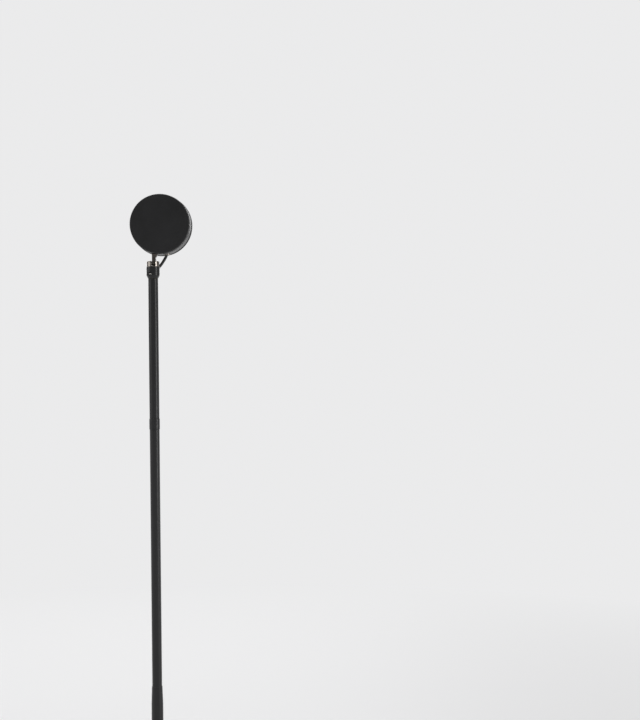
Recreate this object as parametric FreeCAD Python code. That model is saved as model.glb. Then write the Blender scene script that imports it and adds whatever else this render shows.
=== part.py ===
import FreeCAD, Part
import math
import os

# Sunset projection lamp, in millimetres. The origin is on the floor, on the pole's axis.
# +Z is up and +Y is the way the beam goes, so the plain back of the head faces -Y.

os.makedirs("parts", exist_ok=True)
V = FreeCAD.Vector

# Fits
fit_gap = 0.05          # between fixed round pieces that slide together once
running_gap = 0.07      # round a shaft that turns, or a plunger that slides
soft_gap = 0.1          # round the rubber ring and the O-ring

# Base
foot_proud = 1.5        # the rubber ring below the base's rim
foot_depth = 1.0        # the rubber ring's seat in the bottom plate
foot_inset = 6.0        # from the base's side in to the rubber ring
foot_width = 7.0
base_radius = 65.0
base_height = 22.0      # from the rim to the flat round the pole
base_wall = 2.0
base_edge = 5.0         # rounding of the base's upper edge
base_crown = 1.0        # rise from the rounded edge to the flat
plate_thickness = 2.0
weight_gap = 4.5        # between the weight and the base's side wall
weight_floor = 10.0     # from the bottom plate up to the weight
weight_pad = 1.0        # the raised pad that bears on the cover
weight_edge = 2.0
weight_bore_gap = 1.0   # round the ferrule's thread
boss_radius = 4.0
boss_inset = 21.0       # from the base's side in to a boss's middle
boss_gap = 0.3
screw_radius = 1.5      # M3
screw_head = 2.8
screw_head_height = 1.1
screw_length = 9.0

# Switch and inlet
board_width = 28.0
board_length = 23.0
board_thickness = 1.2
board_gap = 4.5         # from the bottom plate up to the board
board_inset = 5.0       # from the base's side in to the board's rear edge
board_pocket_gap = 1.5  # between the board's sides and the weight
board_screw_radius = 1.0
board_screw_head = 1.9
board_screw_spread = 22.0
board_post_radius = 2.3
inlet_width = 8.94
inlet_height = 3.26
inlet_depth = 8.3
inlet_wall = 0.3
inlet_tongue = 6.6
inlet_tongue_thickness = 0.7
inlet_recess = 0.6      # behind the base's side
inlet_gap = 0.2
button_inset = 22.0     # from the base's side in to the button's middle
button_radius = 5.8
button_proud = 2.0
button_travel = 1.5
button_flange = 1.2
button_flange_height = 1.0
button_flange_gap = 0.4 # under the cover
switch_width = 8.4
switch_floor = 0.4
plunger_radius = 2.0
plunger_end_gap = 0.4   # left under the plunger when it is pressed
spring_radius = 3.3
spring_room = 3.25      # from the switch up to the button's flange
spring_wire = 0.45
spring_turns = 3

# Pole
pole_radius = 4.9
pole_wall = 1.0
lower_pole_top = 365.1
band_length = 11.0      # the joint band between the two lengths of pole
band_proud = 0.35       # outside the pole's side
joint_stub = 12.0       # how far the joint goes into each length
upper_pole_length = 139.5
lead_bore = 2.6         # radius of the way for the lead through the turned pieces
ferrule_wall = 0.95
ferrule_lip = 0.3       # wall of the ferrule at its thin top
ferrule_top = 108.6
ferrule_taper = 18.0
ferrule_flange = 11.0
ferrule_flange_height = 2.5
ferrule_fillet = 4.0
pole_sunk = 0.5         # the pole's end, below the top of the ferrule's flange
thread_radius = 5.0     # M10
thread_end = 0.8        # below the nut
nut_flats = 14.0
nut_height = 3.5
washer_radius = 9.0
washer_thickness = 1.0

# Swivel
collar_proud = 1.65     # outside the pole's side
collar_gap = 0.1        # between the pole's top and the collar
collar_taper = 3.4
collar_straight = 8.8
spigot_depth = 16.0     # how far the spigot goes into the pole
spigot_step = 0.3       # from the pole's bore in to the spigot's neck
spigot_top_gap = 0.3    # under the lead's axis
stem_wall = 2.0         # the collar's wall round the fork's stem
stem_length = 4.1
stem_end_gap = 0.2
set_screw_below = 1.1   # under the spigot's top
set_screw_radius = 1.9  # M4
set_screw_tip = 0.8
set_screw_slot = 0.6
set_screw_slot_depth = 0.9
set_screw_sunk = 0.15
set_screw_azimuth = 246.0   # from +X: at the back, a little to the left
groove_depth = 0.9
groove_stop = 16.0      # degrees of spigot left between the groove's ends
pivot_rise = 3.3        # hinge axis above the fork's shoulder
ear_rise = 5.5          # fork's crown above the shoulder
ear_round = 0.8
fork_inset = 0.25       # the fork, inside the collar's side
slot_gap = 0.3          # under the tongue's round end
washer_gap = 0.05
hinge_washer = 0.25
hinge_washer_radius = 2.1
pin_radius = 1.25
pin_head = 1.6
pin_head_length = 1.2
tongue_offset = 1.1     # the tongue's middle, to the side of the pole's axis
tongue_thickness = 3.6
tongue_root = 2.3       # how much wider it is to the side, at the drum
tongue_end = 2.6        # radius of the tongue's round end
tongue_neck = 6.0       # narrow part above the hinge axis, from the side
tongue_straight = 5.6   # straight part above the hinge axis, from the front

# Head
head_offset = 8.0       # the drum's axis, to the side of the pole's axis
head_clearance = 8.6    # from the hinge axis up to the drum
drum_radius = 30.0
drum_wall = 2.0
drum_back = 10.0        # from the hinge back to the drum's back
cover_inset = 0.2       # the cover's edge, inside the drum's side
cover_edge = 1.1
cover_wall = 2.0
cover_depth = 3.5
cover_lip = 3.0
drum_front = 12.5       # from the hinge forward to the bezel's seat
bezel_proud = 0.5       # outside the drum's side
bezel_depth = 3.0
bezel_round = 0.8
bezel_lip = 1.5
bezel_lip_wall = 1.2
lip_thickness = 1.5
barrel_inset = 5.6      # from the drum's side in to the barrel
barrel_wall = 2.0
barrel_flange_gap = 0.25
barrel_flange_depth = 1.3
barrel_length = 21.5    # in front of the bezel's seat
ledge_width = 1.6
ledge_setback = 9.0     # from the barrel's end back to the lens ledge
ledge_depth = 2.0
gasket_thickness = 1.2
lens_edge = 1.6
lens_rise = 5.6
lens_ring_depth = 4.2
lens_ring_wall = 1.7
filter_rim = 2.0        # the holder, outside the filter
filter_hold = 1.0       # the holder's reach behind the filter
filter_thickness = 1.1
filter_ahead = 2.3      # from the bezel's seat forward to the filter holder
holder_step = 0.8
holder_depth = 3.4
sink_gap = 2.6          # inside the drum
sink_depth = 5.0
sink_setback = 5.0      # from the drum's back forward to the heat sink
fin_slot = 1.8
fin_pitch = 3.6
fin_depth = 2.8
fin_slots = 11
fin_boss_gap = 0.6
sink_screw_inset = 5.4  # from the heat sink's side in to a screw
sink_boss = 2.6
small_screw = 1.0       # M2
small_screw_gap = 0.05
small_screw_head = 1.9
small_screw_head_height = 1.2
small_screw_slot = 0.5
sink_screw_grip = 1.6
board_grip = 1.6        # how far the board's screws go into the heat sink
board_grip_gap = 0.2
led_board_inset = 4.0   # from the heat sink's screws in to the board's edge
led_board_thickness = 1.6
led_screw_inset = 3.0   # from the board's edge in to its screws
led_size = 7.0
led_base = 0.8
led_dome = 2.6
funnel_foot_gap = 2.6   # from the board's screws in to the funnel
funnel_foot_width = 2.3
funnel_mouth_gap = 0.4  # inside the filter's edge
funnel_wall = 0.8
funnel_lip = 0.5
funnel_shelf = 0.6
condenser_ledge = 0.9
condenser_edge = 1.0
condenser_rise = 3.4
condenser_seat = 3.6    # in front of the board
saddle_thickness = 1.7
saddle_width = 16.0
bracket_screw_radius = 0.9
bracket_screw_head = 1.7
bracket_screw_angle = 14.0
bracket_screw_forward = 4.0
bracket_screw_end = 1.0 # inside the saddle
sunk_below = 0.1        # the sunk heads, below the drum's surface
saddle_gap = 0.5        # from the saddle to the cover's lip and the bezel's
gland_side = 5.9        # from the drum's axis
gland_forward = 4.5     # from the hinge
gland_wall = 0.7        # round the lead's way through it
gland_rim_proud = 0.75  # outside the gland's side
gland_rim_height = 0.8
gland_flare = 0.9       # how much wider the lead's way is at its bell-shaped mouth
gland_mouth_depth = 2.2
gland_length = 6.6
gland_nut_wall = 1.1
gland_nut_height = 2.0
gland_nut_gap = 0.14    # from the drum's inside to the nut's lowest corner
gland_rim_edge = 0.4

# Leads
lead_radius = 1.1
sleeve_radius = 1.4     # the lead with its sleeve, where it is outside
sleeve_gap = 0.3        # round the sleeve
lead_azimuth = 60.0     # the lead's hole in the collar, from +X towards the front
lead_slope = 30.0
collar_lip = 0.3        # left of the collar over the lead's hole
lead_joint_rise = 6.3   # from the gland's tip up to where the two leads meet
lead_bend_rise = 1.2    # from the gland's tip up to the lead's first bend
lead_sag_rise = 7.5     # from the last bend up to the middle one
lead_sag_side = 5.63
lead_sag_back = 3.3
lead_slant = 5.6        # straight in front of the collar's hole
lead_drop = 7.4         # straight down inside the collar
lead_floor = 1.7        # from the bottom plate up to the lead's middle
lead_turn_gap = 0.4     # from the ferrule's lower end up to the lead's turn
board_lead_gap = 3.4    # from the funnel out to the lead's middle on the board
board_lead_side = 5.5
board_lead_rise = 5.5
board_lead_reach = 4.9  # straight in front of the board
lead_plug_width = 6.0
lead_plug_length = 5.0
lead_plug_reach = 1.0   # in front of the board
lead_plug_gap = 0.4     # over the bottom plate

# Heights and places that follow from the sizes
plate_top = foot_proud + plate_thickness
foot_radius = base_radius - foot_inset
base_top = foot_proud + base_height
cover_inside = base_top - base_wall
weight_radius = base_radius - base_wall - weight_gap
weight_top = cover_inside - weight_pad
weight_bottom = plate_top + weight_floor
ferrule_low = weight_bottom - washer_thickness - nut_height - thread_end
boss_circle = base_radius - boss_inset
board_rear = base_radius - board_inset
board_front = board_length - board_rear
button_back = base_radius - button_inset
band_radius = pole_radius + band_proud
ferrule_radius = pole_radius + ferrule_wall
collar_radius = pole_radius + collar_proud
stem_radius = collar_radius - stem_wall
fork_radius = collar_radius - fork_inset
upper_pole_bottom = lower_pole_top + band_length
pole_top = upper_pole_bottom + upper_pole_length
pole_bore = pole_radius - pole_wall
pole_seat = base_top + ferrule_flange_height - pole_sunk
spigot_neck = pole_bore - spigot_step
collar_bottom = pole_top + collar_gap
shoulder = collar_bottom + collar_taper + collar_straight
pivot = shoulder + pivot_rise
beam = pivot + head_clearance + drum_radius
board_bottom = plate_top + board_gap
board_top = board_bottom + board_thickness
drum_bore = drum_radius - drum_wall
seat_rear = cover_depth - drum_back
cover_radius = drum_radius - cover_inset
bezel_radius = drum_radius + bezel_proud
tongue_back = -seat_rear - cover_lip - saddle_gap
tongue_front = drum_front - bezel_lip - saddle_gap
barrel_radius = drum_radius - barrel_inset
barrel_flange = drum_bore - fit_gap - bezel_lip_wall - barrel_flange_gap
barrel_front = drum_front + barrel_length
ledge_front = barrel_front - ledge_setback
filter_seat = drum_front + filter_ahead
sink_rear = sink_setback - drum_back
sink_front = sink_rear + sink_depth
sink_radius = drum_bore - sink_gap
sink_screw_circle = sink_radius - sink_screw_inset
led_board_radius = sink_screw_circle - led_board_inset
led_screw_circle = led_board_radius - led_screw_inset
board_face = sink_front + led_board_thickness
funnel_foot = led_screw_circle - funnel_foot_gap
funnel_neck = funnel_foot - funnel_foot_width
condenser_radius = funnel_neck + condenser_ledge
lead_hole = sleeve_radius + sleeve_gap
lead_hole_height = shoulder - collar_lip - lead_hole / math.cos(math.radians(lead_slope))
lead_axis_height = lead_hole_height - collar_radius * math.tan(math.radians(lead_slope))
spigot_top = lead_axis_height - spigot_top_gap
set_screw_height = spigot_top - set_screw_below
gland_radius = lead_hole + gland_wall
gland_rim = gland_radius + gland_rim_proud
gland_mouth = lead_hole + gland_flare
gland_nut_radius = gland_radius + gland_nut_wall
gland_place = head_offset + gland_side
drum_under = beam - math.sqrt(drum_radius ** 2 - gland_side ** 2)
gland_tip = drum_under - gland_rim_height
gland_nut_side = gland_side + gland_nut_radius
barrel_bore = barrel_radius - barrel_wall
filter_radius = barrel_bore - filter_rim
funnel_mouth = filter_radius - funnel_mouth_gap
button_surface = base_top - base_crown * (button_back - ferrule_flange) / (
    base_radius - base_edge - ferrule_flange
)
flange_top = button_surface - base_wall - button_flange_gap
flange_bottom = flange_top - button_flange_height
switch_top = flange_bottom - spring_room


def edge_outline(points):
    """Closed wire in the XZ plane. (x, z) ends a straight edge, (mx, mz, x, z) an arc through (mx, mz)."""
    edges = []
    here = V(points[0][0], 0, points[0][1])
    for point in points[1:] + points[:1]:
        there = V(point[-2], 0, point[-1])
        if len(point) == 4:
            edges.append(Part.Arc(here, V(point[0], 0, point[1]), there).toShape())
        else:
            edges.append(Part.LineSegment(here, there).toShape())
        here = there
    return Part.Wire(edges)


def turned(points):
    """A piece turned about Z, from its half section of (radius, height)."""
    return Part.Face(edge_outline(points)).revolve(V(0, 0, 0), V(0, 0, 1), 360)


def turned_on_beam(points):
    """A piece turned about the drum's axis, from its half section of (radius, distance forward)."""
    solid = turned(points)
    solid.rotate(V(0, 0, 0), V(1, 0, 0), -90)
    solid.translate(V(head_offset, 0, beam))
    return solid


def rod(radius, start, end):
    return Part.makeCylinder(radius, (end - start).Length, start, end - start)


def upright(radius, x, y, low, high):
    return rod(radius, V(x, y, low), V(x, y, high))


def box(low, high):
    return Part.makeBox(high.x - low.x, high.y - low.y, high.z - low.z, low)


def quarter(centre_r, centre_h, radius, degrees, span=90):
    """The middle and the end of a rounding, for an outline: it ends at degrees + span."""
    middle = math.radians(degrees + span / 2)
    end = math.radians(degrees + span)
    return (
        centre_r + radius * math.cos(middle),
        centre_h + radius * math.sin(middle),
        centre_r + radius * math.cos(end),
        centre_h + radius * math.sin(end),
    )


def cap_height(radius, rise, side):
    """Height of a ball-shaped crown over its rim, at a distance to the side of its middle."""
    ball = (radius ** 2 + rise ** 2) / (2 * rise)
    return math.sqrt(ball ** 2 - side ** 2) - (ball - rise)


def screw(seat, direction, radius, length, head_radius, head_height, slot=0.6):
    """A pan-head screw. The seat is under its head, and direction points into the work."""
    into = V(direction)
    into.normalize()
    head = rod(head_radius, seat - into * head_height, seat)
    head = head.makeFillet(head_height * 0.4, [head.Edges[0]])
    shank = rod(radius, seat, seat + into * length)
    body = head.fuse(shank)
    across = into.cross(V(0, 0, 1))
    if across.Length < 0.5:
        across = V(1, 0, 0)
    across.normalize()
    other = into.cross(across)
    deep = head_height * 0.5
    top = seat - into * head_height
    groove = Part.makePolygon(
        [
            top + across * head_radius * 1.1 + other * slot / 2,
            top - across * head_radius * 1.1 + other * slot / 2,
            top - across * head_radius * 1.1 - other * slot / 2,
            top + across * head_radius * 1.1 - other * slot / 2,
            top + across * head_radius * 1.1 + other * slot / 2,
        ]
    )
    return body.cut(Part.Face(groove).extrude(into * deep))


def rounded_path(points, name):
    """Straight runs joined by tangent arcs, each as large as its two runs allow."""
    edges = []
    radii = []
    here = points[0]
    for before, corner, after in zip(points, points[1:], points[2:]):
        arriving = (corner - before).normalize()
        leaving = (after - corner).normalize()
        turn = arriving.getAngle(leaving)
        shorter = min((corner - before).Length, (after - corner).Length)
        radius = 0.45 * shorter / math.tan(turn / 2)
        tangent = radius * math.tan(turn / 2)
        start = corner - arriving * tangent
        end = corner + leaving * tangent
        inward = (leaving - arriving).normalize()
        middle = corner + inward * radius * (1 / math.cos(turn / 2) - 1)
        edges.append(Part.LineSegment(here, start).toShape())
        edges.append(Part.Arc(start, middle, end).toShape())
        radii.append(round(radius, 1))
        here = end
    edges.append(Part.LineSegment(here, points[-1]).toShape())
    print(name, "bend radii in mm:", radii)
    return Part.Wire(edges)


def tube_along(points, name, radius):
    path = rounded_path(points, name)
    start = points[0]
    ring = Part.Wire(Part.Circle(start, points[1] - start, radius).toShape())
    solid = path.makePipeShell([ring], True, False)
    expected = math.pi * radius ** 2 * path.Length
    print(name, "length", round(path.Length, 1), "volume / expected", round(solid.Volume / expected, 4))
    return solid


# Base


def foot_ring():
    inner = foot_radius - foot_width
    high = foot_proud + foot_depth
    return turned([(inner, 0), (foot_radius, 0), (foot_radius, high), (inner, high)])


def boss_places():
    for k in range(3):
        angle = math.radians(90 + 120 * k)
        yield V(boss_circle * math.cos(angle), boss_circle * math.sin(angle), 0)


def board_screw_places():
    middle = board_length / 2 - board_rear
    for side in (-1, 1):
        yield V(side * board_screw_spread / 2, middle, 0)


def bottom_plate():
    radius = base_radius - base_wall - soft_gap
    inner = foot_radius - foot_width - soft_gap
    outer = foot_radius + soft_gap
    seat = foot_proud + foot_depth
    plate = turned(
        [
            (0, foot_proud),
            (inner, foot_proud),
            (inner, seat),
            (outer, seat),
            (outer, foot_proud),
            (radius, foot_proud),
            (radius, plate_top),
            (0, plate_top),
        ]
    )
    for place in boss_places():
        plate = plate.cut(upright(screw_radius + running_gap, place.x, place.y, 0, base_top))
    for place in board_screw_places():
        plate = plate.fuse(upright(board_post_radius, place.x, place.y, seat, board_bottom))
        plate = plate.cut(upright(board_screw_radius, place.x, place.y, plate_top, base_top))
    return plate.removeSplitter()


def inlet_profile(grow):
    """The inlet's rounded outline, facing back, swept forward past the board."""
    height = inlet_height + 2 * grow
    width = inlet_width + 2 * grow
    half = (width - height) / 2
    middle = board_top + inlet_height / 2
    y = -base_radius - base_wall
    depth = inlet_depth + base_wall + 2 * inlet_gap
    left = rod(height / 2, V(-half, y, middle), V(-half, y + depth, middle))
    right = rod(height / 2, V(half, y, middle), V(half, y + depth, middle))
    flat = box(V(-half, y, middle - height / 2), V(half, y + depth, middle + height / 2))
    return left.fuse(right).fuse(flat)


def base_cover():
    crown = base_top - base_crown
    edge = base_radius - base_edge
    low = crown - base_edge
    inner_edge = base_edge - base_wall
    cover = turned(
        [
            (base_radius - base_wall, foot_proud),
            (base_radius, foot_proud),
            (base_radius, low),
            quarter(edge, low, base_edge, 0),
            (ferrule_flange, base_top),
            (thread_radius + fit_gap, base_top),
            (thread_radius + fit_gap, cover_inside),
            (ferrule_flange, cover_inside),
            (edge, crown - base_wall),
            quarter(edge, low, inner_edge, 90, -90),
        ]
    )
    for place in boss_places():
        cover = cover.fuse(upright(boss_radius, place.x, place.y, plate_top, cover_inside))
        cover = cover.cut(upright(screw_radius, place.x, place.y, foot_proud, plate_top + screw_length))
    cover = cover.cut(upright(button_radius + running_gap, 0, -button_back, board_top, base_top + 1))
    return cover.cut(inlet_profile(inlet_gap)).removeSplitter()


def base_weight():
    bore = thread_radius + weight_bore_gap
    weight = turned(
        [
            (bore, weight_bottom),
            (weight_radius, weight_bottom),
            (weight_radius, weight_top - base_crown - weight_edge),
            (weight_radius - weight_edge, weight_top - base_crown),
            (ferrule_flange, weight_top),
            (ferrule_flange, cover_inside),
            (bore, cover_inside),
        ]
    )
    for place in boss_places():
        weight = weight.cut(upright(boss_radius + boss_gap, place.x, place.y, 0, base_top))
    half = board_width / 2 + board_pocket_gap
    pocket = box(V(-half, -base_radius, 0), V(half, board_front + board_pocket_gap, base_top))
    round_pocket = upright(button_radius + button_flange + board_pocket_gap, 0, -button_back, 0, base_top)
    return weight.cut(pocket).cut(round_pocket)


def bottom_screws():
    seat = foot_proud
    screws = []
    for place in boss_places():
        start = V(place.x, place.y, seat)
        screws.append(
            screw(start, V(0, 0, 1), screw_radius - 0.02, screw_length, screw_head, screw_head_height)
        )
    return Part.makeCompound(screws)


def control_board():
    rear = -board_rear
    board = box(
        V(-board_width / 2, rear, board_bottom),
        V(board_width / 2, rear + board_length, board_top),
    )
    upright_edges = [e for e in board.Edges if abs(e.tangentAt(e.FirstParameter).z) > 0.9]
    board = board.makeFillet(1.0, upright_edges)
    for place in board_screw_places():
        board = board.cut(upright(board_screw_radius + fit_gap, place.x, place.y, 0, base_top))
    return board


def board_screws():
    screws = []
    for place in board_screw_places():
        seat = V(place.x, place.y, board_top)
        length = board_thickness + board_gap - 0.5
        screws.append(screw(seat, V(0, 0, -1), board_screw_radius, length, board_screw_head, 1.2, 0.5))
    return Part.makeCompound(screws)


def inlet_socket():
    mouth = -base_radius + inlet_recess
    front = mouth + inlet_depth
    middle = board_top + inlet_height / 2
    room = box(V(-base_radius, mouth, 0), V(base_radius, front, base_top))
    shell = inlet_profile(0).common(room)
    inside = box(V(-base_radius, mouth, 0), V(base_radius, front - 1, base_top))
    hollow = inlet_profile(-inlet_wall).common(inside)
    half = inlet_tongue / 2
    thin = inlet_tongue_thickness / 2
    tongue = box(V(-half, mouth + 0.8, middle - thin), V(half, front - 0.5, middle + thin))
    return shell.cut(hollow).fuse(tongue).removeSplitter()


def switch_body():
    half = switch_width / 2
    body = box(V(-half, -button_back - half, board_top), V(half, -button_back + half, switch_top))
    upright_edges = [e for e in body.Edges if abs(e.tangentAt(e.FirstParameter).z) > 0.9]
    body = body.makeFillet(1.0, upright_edges)
    bore = plunger_radius + running_gap
    return body.cut(upright(bore, 0, -button_back, board_top + switch_floor, base_top))


def switch_plunger():
    low = board_top + switch_floor + button_travel + plunger_end_gap
    high = button_surface + button_proud - base_wall
    plunger = upright(plunger_radius, 0, -button_back, low, high)
    return plunger.makeChamfer(0.3, [plunger.Edges[0], plunger.Edges[2]])


def push_button():
    top = button_surface + button_proud
    outer = button_radius + button_flange
    socket = plunger_radius + fit_gap
    round_edge = 0.8
    dish = button_radius - 2.0
    dish_depth = 0.6
    cap = turned(
        [
            (socket, flange_bottom),
            (outer, flange_bottom),
            (outer, flange_top),
            (button_radius, flange_top),
            (button_radius, top - round_edge),
            quarter(button_radius - round_edge, top - round_edge, round_edge, 0),
            (dish, top),
            (dish / 2, top - cap_height(dish, dish_depth, dish / 2), 0, top - dish_depth),
            (0, top - base_wall),
            (socket, top - base_wall),
        ]
    )
    cap.translate(V(0, -button_back, 0))
    return cap


def turn_point(angle, radius, centre, rise):
    return V(
        centre.x + radius * math.cos(angle),
        centre.y + radius * math.sin(angle),
        centre.z + rise * angle / (2 * math.pi),
    )


def turn_direction(angle, radius, rise):
    return V(-radius * math.sin(angle), radius * math.cos(angle), rise / (2 * math.pi)).normalize()


def two_arcs(start, leaving, end, arriving):
    """Two arcs that meet smoothly, from start to end, with the given directions at both."""
    chord = end - start
    total = leaving + arriving
    slope = chord.dot(total)
    reach = 2 * (1 - leaving.dot(arriving))
    side = (-slope + math.sqrt(slope ** 2 + reach * chord.dot(chord))) / reach
    first = start + leaving * side
    second = end - arriving * side
    joint = (first + second) * 0.5
    arcs = []
    for a, corner, b in ((start, first, joint), (joint, second, end)):
        half = (corner - a).getAngle(b - a)
        sagitta = (b - a).Length / 2 * math.tan(half / 2)
        middle = (a + b) * 0.5
        outward = (corner - middle).normalize()
        arcs.append(Part.Arc(a, middle + outward * sagitta, b).toShape())
    return arcs


def button_spring():
    low = switch_top + spring_wire / 2
    high = flange_bottom - spring_wire / 2
    centre = V(0, -button_back, low)
    rise = (high - low) / spring_turns
    edges = []
    for quarter_turn in range(4 * spring_turns):
        a = quarter_turn * math.pi / 2
        b = a + math.pi / 2
        edges += two_arcs(
            turn_point(a, spring_radius, centre, rise),
            turn_direction(a, spring_radius, rise),
            turn_point(b, spring_radius, centre, rise),
            turn_direction(b, spring_radius, rise),
        )
    start = turn_point(0, spring_radius, centre, rise)
    direction = turn_direction(0, spring_radius, rise)
    ring = Part.Wire(Part.Circle(start, direction, spring_wire / 2).toShape())
    print("button_spring least gap between turns:", round(rise - spring_wire, 2))
    return Part.Wire(edges).makePipeShell([ring], True, False)


# Pole


def pole_ferrule():
    bore = pole_radius + fit_gap
    edge = 0.6
    top = base_top + ferrule_flange_height
    fillet_r = ferrule_radius + ferrule_fillet
    fillet_h = top + ferrule_fillet
    thread_edge = 0.5
    return turned(
        [
            (lead_bore, ferrule_low),
            (thread_radius - thread_edge, ferrule_low),
            (thread_radius, ferrule_low + thread_edge),
            (thread_radius, base_top),
            (ferrule_flange, base_top),
            (ferrule_flange, top - edge),
            quarter(ferrule_flange - edge, top - edge, edge, 0),
            (fillet_r, top),
            quarter(fillet_r, fillet_h, ferrule_fillet, 270, -90),
            (ferrule_radius, ferrule_top - ferrule_taper),
            (bore + ferrule_lip, ferrule_top),
            (bore, ferrule_top),
            (bore, pole_seat),
            (lead_bore, pole_seat),
        ]
    )


def pole_washer():
    low = weight_bottom - washer_thickness
    hole = thread_radius + 0.3
    high = weight_bottom
    return turned([(hole, low), (washer_radius, low), (washer_radius, high), (hole, high)])


def hexagon(flats, low, high, x=0.0, y=0.0):
    across = flats / math.sqrt(3)
    corners = []
    for k in range(7):
        angle = math.radians(60 * k)
        corners.append(V(x + across * math.cos(angle), y + across * math.sin(angle), low))
    return Part.Face(Part.makePolygon(corners)).extrude(V(0, 0, high - low))


def pole_nut():
    high = weight_bottom - washer_thickness
    low = high - nut_height
    nut = hexagon(nut_flats, low, high)
    round_blank = upright(nut_flats / math.sqrt(3) - 0.3, 0, 0, low, high)
    round_blank = round_blank.makeChamfer(0.7, [round_blank.Edges[0], round_blank.Edges[2]])
    return nut.common(round_blank).cut(upright(thread_radius + 0.02, 0, 0, 0, base_top))


def pole_tube(low, high):
    round_edge = 0.2
    tube = upright(pole_radius, 0, 0, low, high)
    tube = tube.makeChamfer(round_edge, [tube.Edges[0], tube.Edges[2]])
    return tube.cut(upright(pole_bore, 0, 0, low - 1, high + 1))


def lower_pole():
    return pole_tube(pole_seat, lower_pole_top)


def upper_pole():
    return pole_tube(upper_pole_bottom, pole_top)


def pole_coupling():
    stub = pole_bore - fit_gap
    edge = 0.25
    return turned(
        [
            (lead_bore, lower_pole_top - joint_stub),
            (stub, lower_pole_top - joint_stub),
            (stub, lower_pole_top),
            (band_radius - edge, lower_pole_top),
            (band_radius, lower_pole_top + edge),
            (band_radius, upper_pole_bottom - edge),
            (band_radius - edge, upper_pole_bottom),
            (stub, upper_pole_bottom),
            (stub, upper_pole_bottom + joint_stub),
            (lead_bore, upper_pole_bottom + joint_stub),
        ]
    )


def groove_ring(low, high, stop):
    """The ring that the set screw's tip runs in, left solid over the stop."""
    inner = spigot_neck - groove_depth
    outer = spigot_neck + 1
    section = edge_outline([(inner, low), (outer, low), (outer, high), (inner, high)])
    ring = Part.Face(section).revolve(V(0, 0, 0), V(0, 0, 1), 360 - stop)
    ring.rotate(V(0, 0, 0), V(0, 0, 1), set_screw_azimuth + 180 + stop / 2)
    return ring


def pole_spigot():
    top = spigot_top
    low = pole_top - spigot_depth
    body = turned(
        [
            (lead_bore, low),
            (pole_bore - fit_gap, low),
            (pole_bore - fit_gap, pole_top),
            (spigot_neck, pole_top),
            (spigot_neck, top - 0.3),
            (spigot_neck - 0.3, top),
            (lead_bore + 0.4, top),
            (lead_bore, top - 0.4),
        ]
    )
    half = set_screw_tip + 0.2
    return body.cut(groove_ring(set_screw_height - half, set_screw_height + half, groove_stop))


# Swivel


def lead_direction():
    """Outward along the slanting hole that the lead goes into."""
    across = math.cos(math.radians(lead_slope))
    around = math.radians(lead_azimuth)
    return V(across * math.cos(around), across * math.sin(around), math.sin(math.radians(lead_slope)))


def lead_mouth():
    around = math.radians(lead_azimuth)
    return V(collar_radius * math.cos(around), collar_radius * math.sin(around), lead_hole_height)


def lead_turns_down():
    """Where the slanting hole's axis meets the pole's axis."""
    return V(0, 0, lead_axis_height)


def slanting_hole():
    return rod(lead_hole, lead_turns_down(), lead_mouth() + lead_direction() * lead_slant)


def swivel_collar():
    lower = collar_bottom + collar_taper
    step = shoulder - stem_length
    bore = spigot_neck + running_gap
    collar = turned(
        [
            (bore, collar_bottom),
            (pole_radius, collar_bottom),
            (collar_radius, lower),
            (collar_radius, shoulder - 0.2),
            (collar_radius - 0.2, shoulder),
            (stem_radius + 0.02, shoulder),
            (stem_radius + 0.02, step),
            (bore, step),
        ]
    )
    around = math.radians(set_screw_azimuth)
    outward = V(math.cos(around), math.sin(around), 0)
    height = V(0, 0, set_screw_height)
    inside = height + outward * (spigot_neck - groove_depth)
    thread = rod(set_screw_radius + 0.02, inside, height + outward * base_radius)
    return collar.cut(thread).cut(slanting_hole())


def set_screw():
    around = math.radians(set_screw_azimuth)
    outward = V(math.cos(around), math.sin(around), 0)
    height = V(0, 0, set_screw_height)
    tip = height + outward * (spigot_neck - groove_depth + 0.1)
    inner = height + outward * (spigot_neck + running_gap + 0.1)
    outer = height + outward * (collar_radius - set_screw_sunk)
    shank = rod(set_screw_radius, inner, outer)
    shank = shank.makeChamfer(0.2, [shank.Edges[0]])
    body = shank.fuse(rod(set_screw_tip, tip, inner))
    half = set_screw_slot / 2
    slot = box(V(-set_screw_slot_depth, -collar_radius, -half), V(1, collar_radius, half))
    slot.rotate(V(0, 0, 0), V(0, 0, 1), set_screw_azimuth)
    slot.translate(outer)
    return body.cut(slot)


def slot_sides():
    half = tongue_thickness / 2 + hinge_washer + washer_gap
    return tongue_offset - half, tongue_offset + half


def hinge_fork():
    crown = shoulder + ear_rise
    edge = crown - 0.15
    fork = turned(
        [
            (0, shoulder - stem_length + stem_end_gap),
            (stem_radius, shoulder - stem_length + stem_end_gap),
            (stem_radius, shoulder),
            (fork_radius, shoulder),
            (fork_radius, edge - ear_round),
            quarter(fork_radius - ear_round, edge - ear_round, ear_round, 0),
            (0, crown),
        ]
    )
    left, right = slot_sides()
    far = 2 * collar_radius
    fork = fork.cut(box(V(left, -far, pivot - tongue_end - slot_gap), V(right, far, crown + 1)))
    fork = fork.cut(rod(pin_radius, V(-far, 0, pivot), V(far, 0, pivot)))
    counterbore = V(fork_radius - pin_head_length, 0, pivot)
    fork = fork.cut(rod(pin_head + fit_gap, counterbore, V(far, 0, pivot)))
    fork = fork.cut(upright(lead_bore, 0, 0, 0, lead_turns_down().z + 2))
    return fork.cut(slanting_hole()).removeSplitter()


def hinge_screw():
    seat = fork_radius - pin_head_length
    body = rod(pin_radius, V(-fork_radius + 0.3, 0, pivot), V(seat, 0, pivot))
    head_end = fork_radius - 0.3
    body = body.fuse(rod(pin_head, V(seat, 0, pivot), V(head_end, 0, pivot)))
    groove = box(V(head_end - 0.5, -2, pivot - 0.25), V(head_end + 1, 2, pivot + 0.25))
    return body.cut(groove)


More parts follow.
